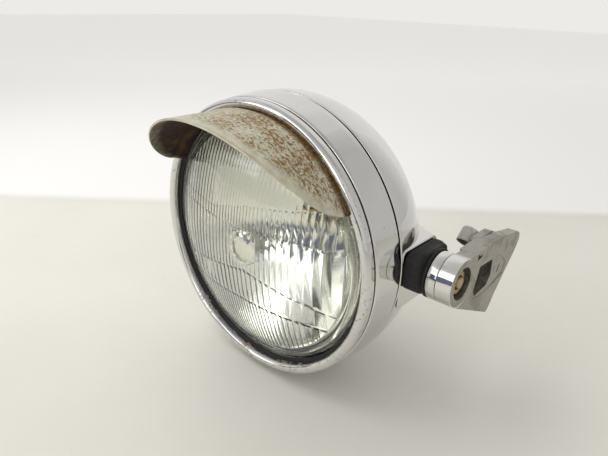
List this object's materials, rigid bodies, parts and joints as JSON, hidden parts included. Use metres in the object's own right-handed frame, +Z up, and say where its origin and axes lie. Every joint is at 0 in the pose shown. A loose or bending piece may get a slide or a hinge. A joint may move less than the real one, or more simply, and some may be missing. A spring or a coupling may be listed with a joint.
{
  "type": "motorcycle fog light",
  "caption": "Round chrome fog light with a fluted glass lens, a peaked visor, a rubber-damped side pivot and a cast mounting arm.",
  "frame": {"origin": "on the mounting arm's flat outer face, level with the pivot axis, on the web between the pivot bore and the fixing window", "axes": "+X out of the arm's outer face along the pivot axis, lens faces -Y, +Z up"},
  "size_m": [0.1557, 0.1267, 0.1377],
  "materials": {
    "bezel_chrome": "polished chrome with fine pitting and rust specks",
    "band_chrome": "polished chrome",
    "bowl_chrome": "polished chrome",
    "visor_chrome": "worn chrome, speckled with rust",
    "lens_glass": "clear moulded glass, fluted",
    "gasket_rubber": "matt black",
    "reflector_mirror": "vacuum-metallised bowl, slightly yellowed",
    "spring_steel": "plain spring steel",
    "socket_zinc": "zinc-plated pressed steel",
    "bulb_brass": "satin",
    "bulb_glass": "clear quartz glass",
    "shield_mirror": "bright plated",
    "connector_plastic": "black moulded",
    "red_lead": "flexible insulation",
    "black_lead": "flexible insulation",
    "screw_zinc": "bright zinc-plated steel",
    "pivot_zinc": "yellow zinc-plated steel",
    "damper_rubber": "matt black",
    "cast_bracket": "satin cast aluminium with rough patches",
    "polished_collar": "polished"
  },
  "bodies": {
    "bracket": {"bracket_arm": "cast_bracket", "fixing_sleeve": "cast_bracket", "collar_ring": "polished_collar", "pivot_washer": "pivot_zinc"},
    "pivot_nut": {"pivot_nut": "pivot_zinc"},
    "lamp_shell": {"rear_bowl": "bowl_chrome", "wire_grommet": "damper_rubber", "lead_socket": "connector_plastic", "harness_cable": "black_lead", "rubber_block": "damper_rubber", "pivot_bolt": "pivot_zinc", "inner_washer": "screw_zinc"},
    "front_unit": {"bezel_ring": "bezel_chrome", "front_band": "band_chrome", "visor": "visor_chrome", "lens_gasket": "gasket_rubber", "lens": "lens_glass", "reflector": "reflector_mirror", "retaining_clip_1": "spring_steel", "retaining_clip_2": "spring_steel", "retaining_clip_3": "spring_steel", "retaining_clip_4": "spring_steel", "bulb_socket": "socket_zinc", "bulb_base": "bulb_brass", "bulb_glass": "bulb_glass", "bulb_shield": "shield_mirror", "clip_hinge": "socket_zinc", "clip_catch": "socket_zinc", "bulb_connector": "connector_plastic", "lead_plug": "connector_plastic", "feed_lead": "red_lead", "earth_lead": "black_lead", "rim_nut": "screw_zinc"},
    "rim_screw": {"rim_screw": "screw_zinc"},
    "bulb_clip": {"bulb_clip": "spring_steel"}
  },
  "joints": [
    {"name": "lamp_tilt", "type": "hinge", "parent": "bracket", "child": "lamp_shell", "pos_m": [0, -0.0105, 0], "axis": [1, 0, 0], "range_deg": [-30, 30]},
    {"name": "pivot_nut_turn", "type": "hinge", "parent": "bracket", "child": "pivot_nut", "pos_m": [-0.0042, -0.0105, 0], "axis": [1, 0, 0], "continuous": true},
    {"name": "front_unit_slide", "type": "slide", "parent": "lamp_shell", "child": "front_unit", "axis": [0, -1, 0], "range_m": [0, 0.06]},
    {"name": "rim_screw_turn", "type": "hinge", "parent": "front_unit", "child": "rim_screw", "pos_m": [-0.088, -0.0292, -0.065], "axis": [0, 0, 1], "continuous": true},
    {"name": "bulb_clip_swing", "type": "hinge", "parent": "front_unit", "child": "bulb_clip", "pos_m": [-0.088, 0.005, -0.0134], "axis": [-1, 0, 0], "range_deg": [0, 25]}
  ]
}
